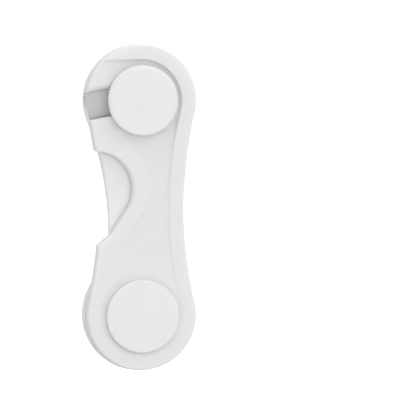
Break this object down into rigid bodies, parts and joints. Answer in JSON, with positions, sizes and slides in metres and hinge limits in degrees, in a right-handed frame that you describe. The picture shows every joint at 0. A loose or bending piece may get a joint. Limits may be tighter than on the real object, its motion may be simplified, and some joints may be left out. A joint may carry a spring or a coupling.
{
  "type": "swing latch",
  "caption": "Stick-on swing latch for a sash or door: a waisted arm pivots on a round base and hooks over a push-button keeper, with a finger notch and a round cap at each end.",
  "frame": {"origin": "on the arm's pivot axis, in the plane of the adhesive backs", "axes": "+Z from the pivot to the keeper, +Y into the panel it is stuck to, so the front faces -Y, +X to the right seen from the front"},
  "size_m": [0.0422, 0.0138, 0.1205],
  "materials": {
    "white_plastic": "satin moulded ABS",
    "natural_acetal": "natural acetal",
    "spring_steel": "drawn spring wire",
    "zinc_screw": "bright zinc plate",
    "foam_tape": "closed-cell foam tape"
  },
  "bodies": {
    "base": {"pivot_pad": "foam_tape", "keeper_pad": "foam_tape", "pivot_plate": "white_plastic", "keeper_plate": "white_plastic", "slot_guide": "natural_acetal", "spring_seat": "natural_acetal", "keeper_head": "white_plastic", "button_spring": "spring_steel", "friction_washer": "natural_acetal", "pivot_retainer": "natural_acetal", "pivot_screw": "zinc_screw", "pivot_cap": "white_plastic"},
    "arm": {"arm_shell": "white_plastic", "arm_back": "white_plastic", "arm_screws": "zinc_screw", "pivot_bush": "natural_acetal", "catch_spring": "spring_steel"},
    "button": {"button_cap": "white_plastic", "button_plunger": "natural_acetal", "button_clip": "spring_steel"}
  },
  "joints": [
    {"name": "arm_swing", "type": "hinge", "parent": "base", "child": "arm", "pos_m": [0, 0, 0], "axis": [0, 1, 0], "range_deg": [0, 110], "deforming": ["catch_spring"]},
    {"name": "button_press", "type": "slide", "parent": "base", "child": "button", "axis": [0, 1, 0], "range_m": [0, 0.0014], "stiffness_N_per_m": 900, "springref_m": -0.0015, "deforming": ["button_spring"]}
  ]
}
